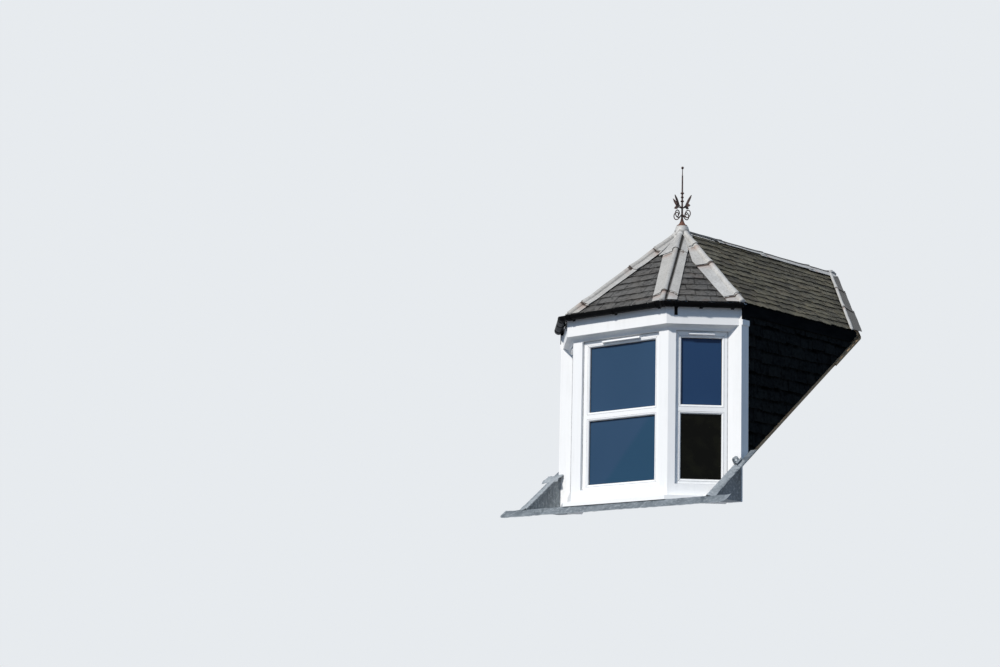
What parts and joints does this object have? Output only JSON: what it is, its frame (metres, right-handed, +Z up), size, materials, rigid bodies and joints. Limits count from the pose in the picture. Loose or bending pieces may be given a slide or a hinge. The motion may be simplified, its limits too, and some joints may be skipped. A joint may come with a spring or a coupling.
{
  "type": "canted bay dormer window",
  "caption": "Canted bay dormer with splayed side windows, slated hipped roof, metal hip flashings, half-round gutter and iron finial.",
  "frame": {"origin": "centre of the underside of the front sole plate, on the sloping boards of the main roof", "axes": "+X to the right along the facade, +Y into the building along the dormer's ridge, +Z up"},
  "size_m": [2.4504, 3.3059, 3.129],
  "materials": {
    "timber": "rough sawn",
    "white_board": "satin",
    "upvc": "satin",
    "glass": "clear",
    "black_pvc": "weathered",
    "slate": "riven",
    "hip_metal": "weathered, rust at the laps",
    "lead": "weathered lead",
    "iron": "rusted"
  },
  "bodies": {
    "root": {"front_sole_plate": "timber", "side_sole_plates": "timber", "front_base_wall": "white_board", "splay_base_walls": "white_board", "corner_post_left": "white_board", "corner_post_right": "white_board", "end_post_left": "white_board", "end_post_right": "white_board", "front_window": "upvc", "splay_window_left": "upvc", "splay_window_right": "upvc", "front_glass": "glass", "splay_glass": "glass", "trickle_vents": "upvc", "front_head": "white_board", "splay_heads": "white_board", "front_sill": "upvc", "splay_sills": "upvc", "front_bed_mould": "white_board", "splay_bed_moulds": "white_board", "front_fascia": "white_board", "splay_fascias": "white_board", "side_fascias": "black_pvc", "front_gutter": "black_pvc", "splay_gutters": "black_pvc", "gutter_brackets": "black_pvc", "front_deck": "timber", "splay_deck_left": "timber", "splay_deck_right": "timber", "side_deck_left": "timber", "side_deck_right": "timber", "front_slates": "slate", "splay_slates_left": "slate", "splay_slates_right": "slate", "side_slates_left": "slate", "side_slates_right": "slate", "cheek_walls": "timber", "cheek_slates": "slate", "valley_boards": "timber", "front_hip_left": "hip_metal", "front_hip_right": "hip_metal", "side_hip_left": "hip_metal", "side_hip_right": "hip_metal", "ridge_flashing": "hip_metal", "apex_cap": "hip_metal", "finial": "iron", "valley_flashings": "lead", "lead_apron": "lead", "corner_lead_left": "lead", "corner_lead_right": "lead"}
  },
  "joints": []
}
